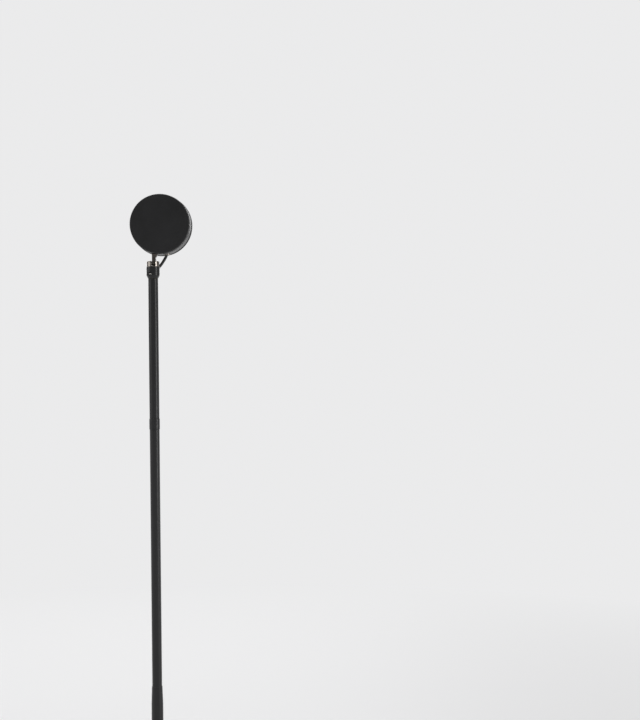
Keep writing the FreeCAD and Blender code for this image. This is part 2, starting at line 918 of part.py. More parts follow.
def friction_washers():
    left, right = slot_sides()
    washers = []
    for start, end in ((left, left + hinge_washer), (right - hinge_washer, right)):
        disc = rod(hinge_washer_radius, V(start, 0, pivot), V(end, 0, pivot))
        washers.append(disc.cut(rod(pin_radius + fit_gap, V(start - 1, 0, pivot), V(end + 1, 0, pivot))))
    return Part.makeCompound(washers)


# Head


def bore_height(radius, side):
    """Height of a round wall's underside, at a distance to the side of the beam's axis."""
    return beam - math.sqrt(radius ** 2 - side ** 2)


def saddle_blank():
    """The curved plate against the inside of the drum, round the tongue's top."""
    outer = drum_bore - fit_gap
    inner = outer - saddle_thickness
    front = tongue_front
    rear = -tongue_back
    ring = turned_on_beam([(inner, rear), (outer, rear), (outer, front), (inner, front)])
    half = saddle_width / 2
    low = V(tongue_offset - half, rear - 1, shoulder)
    return ring.common(box(low, V(tongue_offset + half, front + 1, beam)))


def tongue_bracket():
    top = bore_height(drum_bore - saddle_thickness / 2, head_offset - tongue_offset)
    drum_line = bore_height(drum_radius, head_offset - tongue_offset)
    neck = tongue_end - 0.1
    neck_top = pivot + tongue_neck
    flare = drum_line - 0.3
    points = [
        (-neck, pivot),
        (0, pivot - tongue_end, neck, pivot),
        (neck, neck_top),
        (neck + (tongue_front - neck) * 0.32, neck_top + (flare - neck_top) * 0.72, tongue_front, flare),
        (tongue_front, top),
        (-tongue_back, top),
        (-tongue_back, flare),
        (-neck, neck_top),
    ]
    plate = Part.Face(edge_outline(points)).extrude(V(0, tongue_thickness + tongue_root, 0))
    plate.rotate(V(0, 0, 0), V(0, 0, 1), 90)
    left = tongue_offset - tongue_thickness / 2
    right = tongue_offset + tongue_thickness / 2
    wide = right + tongue_root
    plate.translate(V(wide, 0, 0))
    low = pivot - tongue_end
    front_view = [(left, low), (right, low), (right, pivot + tongue_straight)]
    front_view += [(wide, drum_line), (wide, beam), (left, beam)]
    reach = V(0, 2 * tongue_front, 0)
    silhouette = Part.Face(edge_outline(front_view)).extrude(reach)
    silhouette.translate(-reach / 2)
    plate = plate.common(silhouette).fuse(saddle_blank())
    far = 2 * collar_radius
    plate = plate.cut(rod(pin_radius + fit_gap, V(-far, 0, pivot), V(far, 0, pivot)))
    for start, end in bracket_screw_lines():
        plate = plate.cut(rod(bracket_screw_radius, start, end))
    return plate.removeSplitter()


def bracket_screw_lines():
    """From the drum's surface towards its axis, one line on each side of the tongue."""
    tongue_angle = math.degrees(math.asin((head_offset - tongue_offset) / drum_bore))
    for side in (-1, 1):
        angle = math.radians(tongue_angle + side * bracket_screw_angle)
        outward = V(-math.sin(angle), 0, -math.cos(angle))
        axis = V(head_offset, bracket_screw_forward, beam)
        inner = drum_bore - saddle_thickness - bracket_screw_end
        yield axis + outward * drum_radius, axis + outward * inner


def sunk_screw(start, end, grow, above):
    """A screw whose head is a cone, cut off level above the start, or its hole when grow is given."""
    shank = bracket_screw_radius + grow
    head = bracket_screw_head + grow
    depth = bracket_screw_head - bracket_screw_radius
    length = (end - start).Length
    solid = turned([(0, -above), (head + above, -above), (shank, depth), (shank, length), (0, length)])
    seam = FreeCAD.Rotation(V(0, 0, 1), 45)
    solid.Placement = FreeCAD.Placement(start, FreeCAD.Rotation(V(0, 0, 1), end - start).multiply(seam))
    return solid


def bracket_screws():
    return Part.makeCompound(
        [sunk_screw(start, end, 0, -sunk_below) for start, end in bracket_screw_lines()]
    )


def drum_housing():
    edge = 0.3
    drum = turned_on_beam(
        [
            (drum_bore, seat_rear),
            (drum_radius - edge, seat_rear),
            (drum_radius, seat_rear + edge),
            (drum_radius, drum_front - edge),
            (drum_radius - edge, drum_front),
            (drum_bore, drum_front),
        ]
    )
    gap = fit_gap
    half = tongue_thickness / 2 + gap
    slot = box(
        V(tongue_offset - half, -tongue_back - gap, pivot),
        V(tongue_offset + half + tongue_root, tongue_front + gap, beam - drum_radius / 2),
    )
    drum = drum.cut(slot)
    for start, end in bracket_screw_lines():
        drum = drum.cut(sunk_screw(start, end, gap, bracket_screw_head))
    return drum.cut(upright(gland_radius + gap, gland_place, gland_forward, pivot, beam - drum_radius / 2))


def rear_cover():
    back = -drum_back
    rim = cover_radius - cover_edge
    lip = drum_bore - fit_gap
    cover = turned_on_beam(
        [
            (0, back),
            (rim, back),
            quarter(rim, back + cover_edge, cover_edge, 270),
            (cover_radius, seat_rear),
            (lip, seat_rear),
            (lip, seat_rear + cover_lip),
            (lip - lip_thickness, seat_rear + cover_lip),
            (lip - lip_thickness, back + cover_wall),
            (0, back + cover_wall),
        ]
    )
    for place in sink_screw_places():
        boss = rod(sink_boss, place + V(0, back + cover_wall / 2, 0), place + V(0, sink_rear, 0))
        cover = cover.fuse(boss)
        cover = cover.cut(rod(small_screw, place + V(0, back + cover_wall, 0), place))
    return cover.removeSplitter()


def sink_screw_places():
    for k in range(3):
        angle = math.radians(90 + 120 * k)
        yield V(
            head_offset + sink_screw_circle * math.cos(angle),
            0,
            beam + sink_screw_circle * math.sin(angle),
        )


def heat_sink():
    rear = sink_rear
    front = sink_front
    sink = turned_on_beam([(0, rear), (sink_radius, rear), (sink_radius, front), (0, front)])
    for k in range(fin_slots):
        x = head_offset + (k - (fin_slots - 1) / 2) * fin_pitch
        low = V(x - fin_slot / 2, rear - 1, beam - drum_radius)
        slot = box(low, V(x + fin_slot / 2, rear + fin_depth, beam + drum_radius))
        for place in sink_screw_places():
            left = sink_boss + fin_boss_gap
            slot = slot.cut(rod(left, place + V(0, rear - 1, 0), place + V(0, front, 0)))
        sink = sink.cut(slot)
    hole = small_screw + small_screw_gap
    for place in sink_screw_places():
        sink = sink.cut(rod(hole, place + V(0, rear - 1, 0), place + V(0, front + 1, 0)))
    depth = board_grip + board_grip_gap
    for place in led_screw_places():
        sink = sink.cut(rod(small_screw, place + V(0, front - depth, 0), place + V(0, front + 1, 0)))
    return sink


def small_screws(places, front, length):
    """Screws that go back from a face at a distance in front of the hinge."""
    screws = []
    for place in places:
        screws.append(
            screw(
                place + V(0, front, 0), V(0, -1, 0), small_screw, length,
                small_screw_head, small_screw_head_height, small_screw_slot,
            )
        )
    return Part.makeCompound(screws)


def heat_sink_screws():
    return small_screws(sink_screw_places(), sink_front, sink_depth + sink_screw_grip)


def led_screw_places():
    for side in (-1, 1):
        yield V(head_offset + side * led_screw_circle, 0, beam)


def led_board():
    rear = sink_front
    front = board_face
    board = turned_on_beam([(0, rear), (led_board_radius, rear), (led_board_radius, front), (0, front)])
    hole = small_screw + small_screw_gap
    for place in led_screw_places():
        board = board.cut(rod(hole, place + V(0, rear - 1, 0), place + V(0, front + 1, 0)))
    return board


def led_board_screws():
    return small_screws(led_screw_places(), board_face, led_board_thickness + board_grip)


def led_chip():
    half = led_size / 2
    low = V(head_offset - half, board_face, beam - half)
    base = box(low, low + V(led_size, led_base, led_size))
    front = board_face + led_base
    arc_height = led_dome * math.cos(math.pi / 4)
    dome = turned_on_beam(
        [(0, front), (led_dome, front), (arc_height, front + arc_height, 0, front + led_dome)]
    )
    return base.fuse(dome).removeSplitter()


def light_funnel():
    seat = board_face + condenser_seat
    shelf = seat + condenser_edge + funnel_shelf
    neck = condenser_radius + fit_gap
    mouth = funnel_mouth
    return turned_on_beam(
        [
            (funnel_neck, board_face),
            (funnel_foot, board_face),
            (funnel_foot, shelf),
            (mouth, filter_seat - funnel_wall),
            (mouth, filter_seat),
            (mouth - funnel_wall, filter_seat),
            (mouth - funnel_wall, filter_seat - funnel_lip),
            (neck, shelf + funnel_wall / 4),
            (neck, seat),
            (funnel_neck, seat),
        ]
    )


def plano_convex(radius, rear, edge, rise):
    """A lens with a flat back and a ball-shaped front."""
    rim = rear + edge
    half = radius / 2
    middle = rim + cap_height(radius, rise, half)
    return turned_on_beam([(0, rear), (radius, rear), (radius, rim), (half, middle, 0, rim + rise)])


def condenser_lens():
    return plano_convex(condenser_radius, board_face + condenser_seat, condenser_edge, condenser_rise)


def filter_holder():
    outer = barrel_bore - fit_gap
    rear = filter_seat
    step = rear + holder_step
    inner = filter_radius - filter_hold
    seat = filter_radius + fit_gap
    front = rear + holder_depth
    return turned_on_beam(
        [(inner, rear), (outer, rear), (outer, front), (seat, front), (seat, step), (inner, step)]
    )


def colour_filter():
    rear = filter_seat + holder_step
    front = rear + filter_thickness
    return turned_on_beam([(0, rear), (filter_radius, rear), (filter_radius, front), (0, front)])


def lens_barrel():
    bore = barrel_bore
    flange_rear = drum_front - barrel_flange_depth
    ledge = bore - ledge_width
    edge = 0.7
    return turned_on_beam(
        [
            (bore, flange_rear),
            (barrel_flange, flange_rear),
            (barrel_flange, drum_front),
            (barrel_radius, drum_front),
            (barrel_radius, barrel_front - edge),
            quarter(barrel_radius - edge, barrel_front - edge, edge, 0),
            (bore, barrel_front),
            (bore, ledge_front),
            (ledge, ledge_front),
            (ledge, ledge_front - ledge_depth),
            (bore, ledge_front - ledge_depth),
        ]
    )


def lens_gasket():
    outer = barrel_bore - soft_gap
    inner = barrel_bore - ledge_width
    front = ledge_front + gasket_thickness
    return turned_on_beam([(inner, ledge_front), (outer, ledge_front), (outer, front), (inner, front)])


def front_lens():
    rear = ledge_front + gasket_thickness
    return plano_convex(barrel_bore - soft_gap, rear, lens_edge, lens_rise)


def lens_ring():
    outer = barrel_bore - fit_gap
    inner = outer - lens_ring_wall
    rear = ledge_front + gasket_thickness + lens_edge
    front = rear + lens_ring_depth
    glass = barrel_bore - soft_gap
    bulge = cap_height(glass, lens_rise, inner)
    return turned_on_beam(
        [(inner, rear + bulge + 0.1), (outer, rear), (outer, front), (inner + 1, front), (inner, front - 1)]
    )


def front_bezel():
    bore = barrel_radius + fit_gap
    lip = drum_bore - fit_gap
    lip_rear = drum_front - bezel_lip
    front = drum_front + bezel_depth
    return turned_on_beam(
        [
            (bore, drum_front),
            (lip - bezel_lip_wall, drum_front),
            (lip - bezel_lip_wall, lip_rear),
            (lip, lip_rear),
            (lip, drum_front),
            (bezel_radius, drum_front),
            (bezel_radius, front - bezel_round),
            quarter(bezel_radius - bezel_round, front - bezel_round, bezel_round, 0),
            (bore, front),
        ]
    )


def lead_gland():
    low = gland_tip
    high = low + gland_length
    rim = upright(gland_rim, gland_place, gland_forward, low, drum_under + 2)
    back = V(head_offset, -drum_back, beam)
    rim = rim.cut(rod(drum_radius, back, V(head_offset, drum_front, beam)))
    rim = rim.makeFillet(gland_rim_edge, [e for e in rim.Edges if e.BoundBox.ZMax < low + 0.01])
    body = upright(gland_radius, gland_place, gland_forward, low, high)
    body = body.fuse(rim)
    bell = turned(
        [
            (0, low),
            (gland_mouth, low),
            (lead_hole + 0.3, low + gland_mouth_depth / 2, lead_hole, low + gland_mouth_depth),
            (lead_hole, high),
            (0, high),
        ]
    )
    bell.translate(V(gland_place, gland_forward, 0))
    return body.cut(bell).removeSplitter()


def gland_nut():
    low = bore_height(drum_bore, gland_nut_side) + gland_nut_gap
    high = low + gland_nut_height
    flats = 2 * gland_nut_radius * math.cos(math.pi / 6)
    nut = hexagon(flats, low, high, gland_place, gland_forward)
    return nut.cut(upright(gland_radius + 0.02, gland_place, gland_forward, low - 1, high + 1))


# Leads


lead_start = V(gland_place, gland_forward, gland_tip + lead_joint_rise)
lead_last_bend = lead_mouth() + lead_direction() * lead_slant
lead_end = lead_turns_down() - V(0, 0, lead_drop)
board_lead_height = beam - math.sqrt((funnel_foot + board_lead_gap) ** 2 - board_lead_side ** 2)
lead_low = plate_top + lead_floor
lead_turn = ferrule_low + lead_turn_gap

# The lead from the gland into the collar, and down to the pole's top
head_lead_route = [
    lead_start,
    V(gland_place, gland_forward, gland_tip + lead_bend_rise),
    lead_last_bend + V(lead_sag_side, -lead_sag_back, lead_sag_rise),
    lead_last_bend,
    lead_turns_down(),
    lead_end,
]

# The lead's tail inside the drum, up from the gland and on to the board
led_lead_route = [
    lead_start,
    V(gland_place, gland_forward, board_lead_height - board_lead_rise),
    V(head_offset + board_lead_side, board_face + board_lead_reach, board_lead_height),
    V(head_offset + board_lead_side, board_face, board_lead_height),
]

# The lead down the pole and under the weight to the board
pole_lead_route = [
    lead_end,
    V(0, 0, lead_turn),
    V(0, lead_low - lead_turn, lead_low),
    V(0, board_front + lead_plug_reach, lead_low),
]


def lead_plug():
    front = board_front + lead_plug_reach
    half = lead_plug_width / 2
    low = V(-half, front - lead_plug_length, plate_top + lead_plug_gap)
    return box(low, V(half, front, board_bottom))


pieces = {
    "foot_ring": foot_ring,
    "bottom_plate": bottom_plate,
    "bottom_screws": bottom_screws,
    "base_cover": base_cover,
    "base_weight": base_weight,
    "control_board": control_board,
    "board_screws": board_screws,
    "inlet_socket": inlet_socket,
    "switch_body": switch_body,
    "switch_plunger": switch_plunger,
    "push_button": push_button,
    "button_spring": button_spring,
    "pole_ferrule": pole_ferrule,
    "pole_washer": pole_washer,
    "pole_nut": pole_nut,
    "lower_pole": lower_pole,
    "pole_coupling": pole_coupling,
    "upper_pole": upper_pole,
    "pole_spigot": pole_spigot,
    "swivel_collar": swivel_collar,
    "set_screw": set_screw,
    "hinge_fork": hinge_fork,
    "hinge_screw": hinge_screw,
    "friction_washers": friction_washers,
    "tongue_bracket": tongue_bracket,
    "bracket_screws": bracket_screws,
    "drum_housing": drum_housing,
    "rear_cover": rear_cover,
    "heat_sink": heat_sink,
    "heat_sink_screws": heat_sink_screws,
    "led_board": led_board,
    "led_board_screws": led_board_screws,
    "led_chip": led_chip,
    "light_funnel": light_funnel,
    "condenser_lens": condenser_lens,
    "filter_holder": filter_holder,
    "colour_filter": colour_filter,
    "lens_barrel": lens_barrel,
    "lens_gasket": lens_gasket,
    "front_lens": front_lens,
    "lens_ring": lens_ring,
    "front_bezel": front_bezel,
    "lead_gland": lead_gland,
    "gland_nut": gland_nut,
    "lead_plug": lead_plug,
}

for name, make in pieces.items():
    make().exportStep("parts/" + name + ".step")

tube_along(head_lead_route, "head_lead", sleeve_radius).exportStep("parts/head_lead.step")
tube_along(led_lead_route, "led_lead", lead_radius).exportStep("parts/led_lead.step")
tube_along(pole_lead_route, "pole_lead", lead_radius).exportStep("parts/pole_lead.step")
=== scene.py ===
import bpy
import bmesh
import math
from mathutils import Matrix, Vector


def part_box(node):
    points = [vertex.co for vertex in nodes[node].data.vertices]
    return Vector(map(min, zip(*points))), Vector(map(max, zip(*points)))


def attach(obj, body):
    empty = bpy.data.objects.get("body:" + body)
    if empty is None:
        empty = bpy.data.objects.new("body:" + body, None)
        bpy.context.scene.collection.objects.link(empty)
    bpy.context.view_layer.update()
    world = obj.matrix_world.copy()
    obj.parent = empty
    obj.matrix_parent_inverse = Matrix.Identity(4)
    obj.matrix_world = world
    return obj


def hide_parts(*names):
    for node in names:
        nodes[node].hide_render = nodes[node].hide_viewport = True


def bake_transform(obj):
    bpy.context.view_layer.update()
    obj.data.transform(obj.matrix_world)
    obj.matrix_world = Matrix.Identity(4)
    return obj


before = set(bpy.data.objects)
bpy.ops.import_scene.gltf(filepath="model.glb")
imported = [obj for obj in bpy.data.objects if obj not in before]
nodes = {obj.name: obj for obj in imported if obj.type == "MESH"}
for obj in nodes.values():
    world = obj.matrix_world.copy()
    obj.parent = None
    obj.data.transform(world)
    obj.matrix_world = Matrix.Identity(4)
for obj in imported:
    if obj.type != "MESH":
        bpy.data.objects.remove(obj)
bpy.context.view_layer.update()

mm = 0.001
edgeSamples = 6     # for every softened edge


# small helpers

def centreOf(node):
    low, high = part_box(node)
    return (low + high) / 2


def linked(obj):
    bpy.context.scene.collection.objects.link(obj)
    return obj


def meshFrom(bm, name, smooth=True):
    mesh = bpy.data.meshes.new(name)
    bm.to_mesh(mesh)
    bm.free()
    for face in mesh.polygons:
        face.use_smooth = smooth
    return linked(bpy.data.objects.new(name, mesh))


class Shader:       # a material, and short ways to add and join its nodes
    def __init__(self, name):
        self.material = bpy.data.materials.new(name)
        self.material.use_nodes = True
        self.tree = self.material.node_tree
        self.surface = self.tree.nodes["Principled BSDF"]
        self.place = self.add("ShaderNodeTexCoord").outputs["Object"]

    def add(self, kind, **values):
        node = self.tree.nodes.new(kind)
        for key, value in values.items():
            setattr(node, key, value)
        return node

    def join(self, start, end):
        self.tree.links.new(start, end)

    def stretched(self, scale):
        node = self.add("ShaderNodeMapping")
        node.inputs["Scale"].default_value = scale
        self.join(self.place, node.inputs["Vector"])
        return node.outputs["Vector"]

    def noise(self, scale, detail=3.0, rough=0.55, place=None):
        node = self.add("ShaderNodeTexNoise")
        node.inputs["Scale"].default_value = scale
        node.inputs["Detail"].default_value = detail
        node.inputs["Roughness"].default_value = rough
        self.join(place or self.place, node.inputs["Vector"])
        return node.outputs["Fac"]

    def cells(self, scale):
        node = self.add("ShaderNodeTexVoronoi")
        node.inputs["Scale"].default_value = scale
        self.join(self.place, node.inputs["Vector"])
        return node.outputs["Distance"]

    def spread(self, value, low, high, toLow=0.0, toHigh=1.0):
        node = self.add("ShaderNodeMapRange", clamp=True)
        for socket, number in zip(("From Min", "From Max", "To Min", "To Max"), (low, high, toLow, toHigh)):
            node.inputs[socket].default_value = number
        self.join(value, node.inputs["Value"])
        return node.outputs["Result"]

    def both(self, a, b, how="MULTIPLY"):
        node = self.add("ShaderNodeMath", operation=how)
        for value, socket in ((a, node.inputs[0]), (b, node.inputs[1])):
            if isinstance(value, (int, float)):
                socket.default_value = value
            else:
                self.join(value, socket)
        return node.outputs[0]

    def colours(self, value, stops):
        node = self.add("ShaderNodeValToRGB")
        ramp = node.color_ramp
        while len(ramp.elements) < len(stops):
            ramp.elements.new(0.5)
        for element, (position, colour) in zip(ramp.elements, stops):
            element.position = position
            element.color = (*colour, 1)
        self.join(value, node.inputs["Fac"])
        return node.outputs["Color"]

    def bump(self, height, strength, distance, after=None):
        node = self.add("ShaderNodeBump")
        node.inputs["Strength"].default_value = strength
        node.inputs["Distance"].default_value = distance
        self.join(height, node.inputs["Height"])
        if after:
            self.join(after, node.inputs["Normal"])
        return node.outputs["Normal"]

    def soft(self, radius):
        node = self.add("ShaderNodeBevel", samples=edgeSamples)
        node.inputs["Radius"].default_value = radius
        return node.outputs["Normal"]

    def set(self, **values):
        for key, value in values.items():
            socket = self.surface.inputs[key.replace("_", " ")]
            if isinstance(value, bpy.types.NodeSocket):
                self.join(value, socket)
            else:
                socket.default_value = value
        return self.material


# camera

camera = {
    # place, lens and sensor in mm, lean in degrees, and how far it sees in metres
    "aside": 166.05, "height": 432.9, "distance": 1400.0, "lens": 70.0, "sensor": 36.0,
    "lean": 0.579, "reach": 50.0,
}


def makeCamera():
    data = bpy.data.cameras.new("camera")
    data.lens = camera["lens"]
    data.sensor_width = camera["sensor"]
    data.clip_end = camera["reach"]
    eye = linked(bpy.data.objects.new("camera", data))
    eye.location = Vector((camera["aside"], -camera["distance"], camera["height"])) * mm
    eye.rotation_euler = (math.pi / 2, math.radians(camera["lean"]), 0)
    bpy.context.scene.camera = eye


makeCamera()
print("camera is set")


# leads

lead = {
    # in mm, with its points set out from the middle of the base's underside
    "diameter": 2.2,
    "sleeve": 2.8,      # outside diameter between the gland and the collar
    "sides": 24,
    "steps": 24,        # points for each stretch of its line
    "visible": [
        (13.9, 4.5, 545.89), (13.9, 4.5, 540.79), (11.33, 6.57, 535.94), (5.7, 9.87, 528.44),
        (0, 0, 521.86), (0, 0, 514.46),
    ],
    "inDrum": [(13.9, 4.5, 545.89), (13.9, 4.5, 551.64), (13.5, 6.5, 557.14), (13.5, 1.6, 557.14)],
    "inPole": [(0, 0, 514.46), (0, 0, 8.6), (0, -3.4, 5.2), (0, -36, 5.2)],
}


def leadLine(route):
    curve = bpy.data.curves.new("leadLine", "CURVE")
    curve.dimensions = "3D"
    curve.resolution_u = lead["steps"]
    spline = curve.splines.new("NURBS")
    spline.points.add(len(route) - 1)
    for point, place in zip(spline.points, route):
        point.co = (*(Vector(place) * mm), 1)
    spline.order_u = 3
    spline.use_endpoint_u = True
    obj = bpy.data.objects.new("leadLine", curve)
    mesh = bpy.data.meshes.new_from_object(obj)
    points = [vertex.co.copy() for vertex in mesh.vertices]
    bpy.data.meshes.remove(mesh)
    bpy.data.objects.remove(obj)
    return points


def tubeAlong(name, points, radius, sides):
    # each ring is turned as little as it can be from the one before
    bm = bmesh.new()
    side = Vector((0, 1, 0))
    loops = []
    for k, point in enumerate(points):
        ahead = (points[min(k + 1, len(points) - 1)] - points[max(k - 1, 0)]).normalized()
        side = (side - ahead * side.dot(ahead)).normalized()
        other = ahead.cross(side)
        loop = []
        for j in range(sides):
            angle = 2 * math.pi * j / sides
            loop.append(bm.verts.new(point + (side * math.cos(angle) + other * math.sin(angle)) * radius))
        loops.append(loop)
    for one, two in zip(loops, loops[1:]):
        for j in range(sides):
            bm.faces.new((one[j], one[(j + 1) % sides], two[(j + 1) % sides], two[j]))
    bm.faces.new(loops[0][::-1])
    bm.faces.new(loops[-1])
    bmesh.ops.recalc_face_normals(bm, faces=bm.faces)
    return meshFrom(bm, name)


def makeLeads():
    radius = lead["diameter"] / 2 * mm
    path = leadLine(lead["visible"])
    shown = tubeAlong("headLead", path, lead["sleeve"] / 2 * mm, lead["sides"])
    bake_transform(shown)
    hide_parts("head_lead")
    pieces = [shown]
    for name, route, node, body in (
        ("ledLead", "inDrum", "led_lead", "head"),
        ("poleLead", "inPole", "pole_lead", "stand"),
    ):
        inner = tubeAlong(name, leadLine(lead[route]), radius, lead["sides"])
        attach(inner, body)
        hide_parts(node)
        pieces.append(inner)
    return pieces


leads = makeLeads()
print("leads are laid")


# materials

paint = {
    # gloss is a low and a high roughness, and grain to rubbedAndGlint are scales of texture, per metre
    "dark": (0.0055, 0.0055, 0.006), "light": (0.0105, 0.0105, 0.0115), "worn": (0.045, 0.045, 0.047),
    "gloss": (0.33, 0.46), "grain": 2600, "cloud": 45, "specks": 900, "marks": 220, "rubbedAndGlint": 240,
    "softEdge": 0.25 * mm, "peelDepth": 0.03 * mm, "speckDepth": 0.02 * mm,
    "wear": 0.5, "coat": 0.08, "coatGloss": 0.28,
}


def blackPaint(name, gloss=None, streak=None):
    # satin powder coat: fine orange peel, faint clouding, handling marks and a little wear on the edges
    s = Shader(name)
    low, high = gloss or paint["gloss"]
    place = s.stretched(streak) if streak else s.place
    cloud = s.noise(paint["cloud"], 4.0, 0.6, place)
    peel = s.noise(paint["grain"], 2.0, 0.5)
    specks = s.spread(s.cells(paint["specks"]), 0.0, 0.06, 1.0, 0.0)
    tint = s.colours(cloud, [(0.3, paint["dark"]), (0.7, paint["light"])])
    rough = s.spread(cloud, 0.3, 0.7, low, high)
    handled = s.noise(paint["marks"], 6.0, 0.7, s.stretched((1, 1, 0.25)))
    marks = s.spread(handled, 0.58, 0.72, 0.0, 0.07)
    edge = s.add("ShaderNodeVectorMath", operation="DOT_PRODUCT")
    s.join(s.soft(paint["softEdge"]), edge.inputs[0])
    s.join(s.add("ShaderNodeNewGeometry").outputs["Normal"], edge.inputs[1])
    rubbedAndGlint = s.spread(s.noise(paint["rubbedAndGlint"], 5.0, 0.7), 0.5, 0.68)
    worn = s.both(s.spread(edge.outputs["Value"], 0.9, 0.72), rubbedAndGlint)
    mix = s.add("ShaderNodeMix", data_type="RGBA")
    s.join(s.both(worn, paint["wear"]), mix.inputs["Factor"])
    s.join(tint, mix.inputs["A"])
    mix.inputs["B"].default_value = (*paint["worn"], 1)
    normal = s.bump(peel, 0.22, paint["peelDepth"], s.soft(paint["softEdge"]))
    normal = s.bump(specks, 0.25, paint["speckDepth"], normal)
    return s.set(
        Base_Color=mix.outputs["Result"], Roughness=s.both(rough, marks, "ADD"), Normal=normal,
        Metallic=0.0, IOR=1.45, Coat_Weight=paint["coat"], Coat_Roughness=paint["coatGloss"],
    )


metal = {"line": 9000, "patch": 180, "scratch": 900, "depth": 0.02 * mm, "softEdge": 0.12 * mm}


def turnedMetal(name, dark, light, gloss, axis="Z", lines=0.12):
    # fine tool lines across the given axis, dull patches and hairline scratches
    s = Shader(name)
    along = {"X": (1, 0.02, 0.02), "Y": (0.02, 1, 0.02), "Z": (0.02, 0.02, 1)}[axis]
    line = s.noise(metal["line"], 2.0, 0.5, s.stretched(along))
    patch = s.noise(metal["patch"], 5.0, 0.65)
    scratch = s.spread(s.noise(metal["scratch"], 3.0, 0.6, s.stretched((0.12, 1, 0.7))), 0.66, 0.72)
    mottle = s.both(s.both(patch, 0.7), s.both(line, 0.3), "ADD")
    tint = s.colours(mottle, [(0.35, dark), (0.65, light)])
    rough = s.both(s.spread(patch, 0.35, 0.7, gloss[0], gloss[1]), s.both(scratch, 0.12), "ADD")
    normal = s.bump(line, lines, metal["depth"], s.soft(metal["softEdge"]))
    normal = s.bump(scratch, 0.15, metal["depth"], normal)
    return s.set(Base_Color=tint, Roughness=rough, Normal=normal, Metallic=1.0)


setScrew = {
    # around is in degrees from +X, face in mm out from the pole's axis, and the depths in mm
    "around": 246.0, "face": 6.3, "glintDepth": 0.05, "depth": 0.03, "softEdge": 0.08, "wear": 900,
    # the first colour is the screw's own blackened steel; the second is bare steel, painted into the slot as
    # a highlight
    "black": (0.02, 0.02, 0.021), "bareGlint": (0.62, 0.60, 0.57),
}


def slotGlintScrew(name):
    # blackened steel, with bare steel inside the slot as a painted highlight that stands in for the glint on
    # the screw
    s = Shader(name)
    around = math.radians(setScrew["around"])
    out = s.add("ShaderNodeVectorMath", operation="DOT_PRODUCT")
    s.join(s.place, out.inputs[0])
    out.inputs[1].default_value = (math.cos(around), math.sin(around), 0)
    face = setScrew["face"] * mm
    # painted highlight: everything sunk a little below the face, that is the slot, turns to bare steel
    rubbedAndGlint = s.spread(out.outputs["Value"], face - setScrew["glintDepth"] * mm, face, 1.0, 0.0)
    wear = s.noise(setScrew["wear"], 5.0, 0.65)
    bareGlint = s.both(rubbedAndGlint, s.spread(wear, 0.25, 0.45, 0.6, 1.0))
    tint = s.colours(bareGlint, [(0.0, setScrew["black"]), (1.0, setScrew["bareGlint"])])
    normal = s.bump(wear, 0.15, setScrew["depth"] * mm, s.soft(setScrew["softEdge"] * mm))
    rough = s.spread(wear, 0.3, 0.7, 0.26, 0.4)
    return s.set(Base_Color=tint, Metallic=1.0, Roughness=rough, Normal=normal)


plastic = {"cloud": 60, "depth": 0.05 * mm, "softEdge": 0.15 * mm}


def mouldedPlastic(name, dark, light, gloss=(0.42, 0.55), grain=1800, strength=0.2):
    s = Shader(name)
    cloud = s.noise(plastic["cloud"], 4.0, 0.6)
    tint = s.colours(cloud, [(0.35, dark), (0.65, light)])
    normal = s.bump(s.noise(grain, 3.0, 0.6), strength, plastic["depth"], s.soft(plastic["softEdge"]))
    return s.set(Base_Color=tint, Roughness=s.spread(cloud, 0.3, 0.7, *gloss), Normal=normal, IOR=1.47)


leadJacket = {
    "dark": (0.010, 0.010, 0.011), "light": (0.020, 0.020, 0.021),
    "ripple": 1300, "cloud": 120, "depth": 0.05 * mm,
}


def jacket(name):
    # soft and matte, with a faint ripple from the extruder
    s = Shader(name)
    ripple = s.noise(leadJacket["ripple"], 3.0, 0.6)
    wide = s.noise(leadJacket["cloud"], 3.0, 0.6)
    tint = s.colours(wide, [(0.35, leadJacket["dark"]), (0.65, leadJacket["light"])])
    return s.set(
        Base_Color=tint, Roughness=s.spread(wide, 0.3, 0.7, 0.45, 0.6),
        Normal=s.bump(ripple, 0.25, leadJacket["depth"]), IOR=1.5,
    )


iron = {"dark": (0.03, 0.03, 0.031), "light": (0.075, 0.072, 0.07), "grain": 500, "depth": 0.3 * mm}


def castIron(name):
    s = Shader(name)
    rough = s.noise(iron["grain"], 6.0, 0.7)
    tint = s.colours(rough, [(0.3, iron["dark"]), (0.7, iron["light"])])
    return s.set(Base_Color=tint, Roughness=0.72, Metallic=0.6, Normal=s.bump(rough, 0.5, iron["depth"]))


glass = {"tint": (0.97, 0.985, 0.98, 1), "smear": 70, "index": 1.52}


def clearGlass(name):
    s = Shader(name)
    smear = s.noise(glass["smear"], 5.0, 0.6)
    return s.set(
        Base_Color=glass["tint"], Roughness=s.spread(smear, 0.5, 0.8, 0.0, 0.05),
        Transmission_Weight=1.0, IOR=glass["index"],
    )


filterDisc = {
    # radius in mm, and the colours from the middle outwards
    "radius": 20.4, "centre": (0.98, 0.62, 0.16), "between": (0.98, 0.30, 0.08), "rim": (0.80, 0.10, 0.22),
}


def sunsetGlass(name):
    # the coating is amber in the middle, orange round it and rose at the rim
    s = Shader(name)
    middle = centreOf("colour_filter")
    shift = s.add("ShaderNodeMapping")
    shift.inputs["Location"].default_value = (-middle.x, -middle.y, -middle.z)
    s.join(s.place, shift.inputs["Vector"])
    reach = s.add("ShaderNodeVectorMath", operation="LENGTH")
    s.join(shift.outputs["Vector"], reach.inputs[0])
    share = s.spread(reach.outputs["Value"], 0, filterDisc["radius"] * mm)
    tint = s.colours(share, [
        (0.15, filterDisc["centre"]), (0.6, filterDisc["between"]), (0.95, filterDisc["rim"]),
    ])
    return s.set(
        Base_Color=tint, Roughness=0.02, Transmission_Weight=0.75, IOR=glass["index"], Coat_Weight=0.5,
    )


board = {"stagger": 0.37, "track": 0.03, "shade": 0.85, "cloud": 300, "depth": 0.05 * mm}


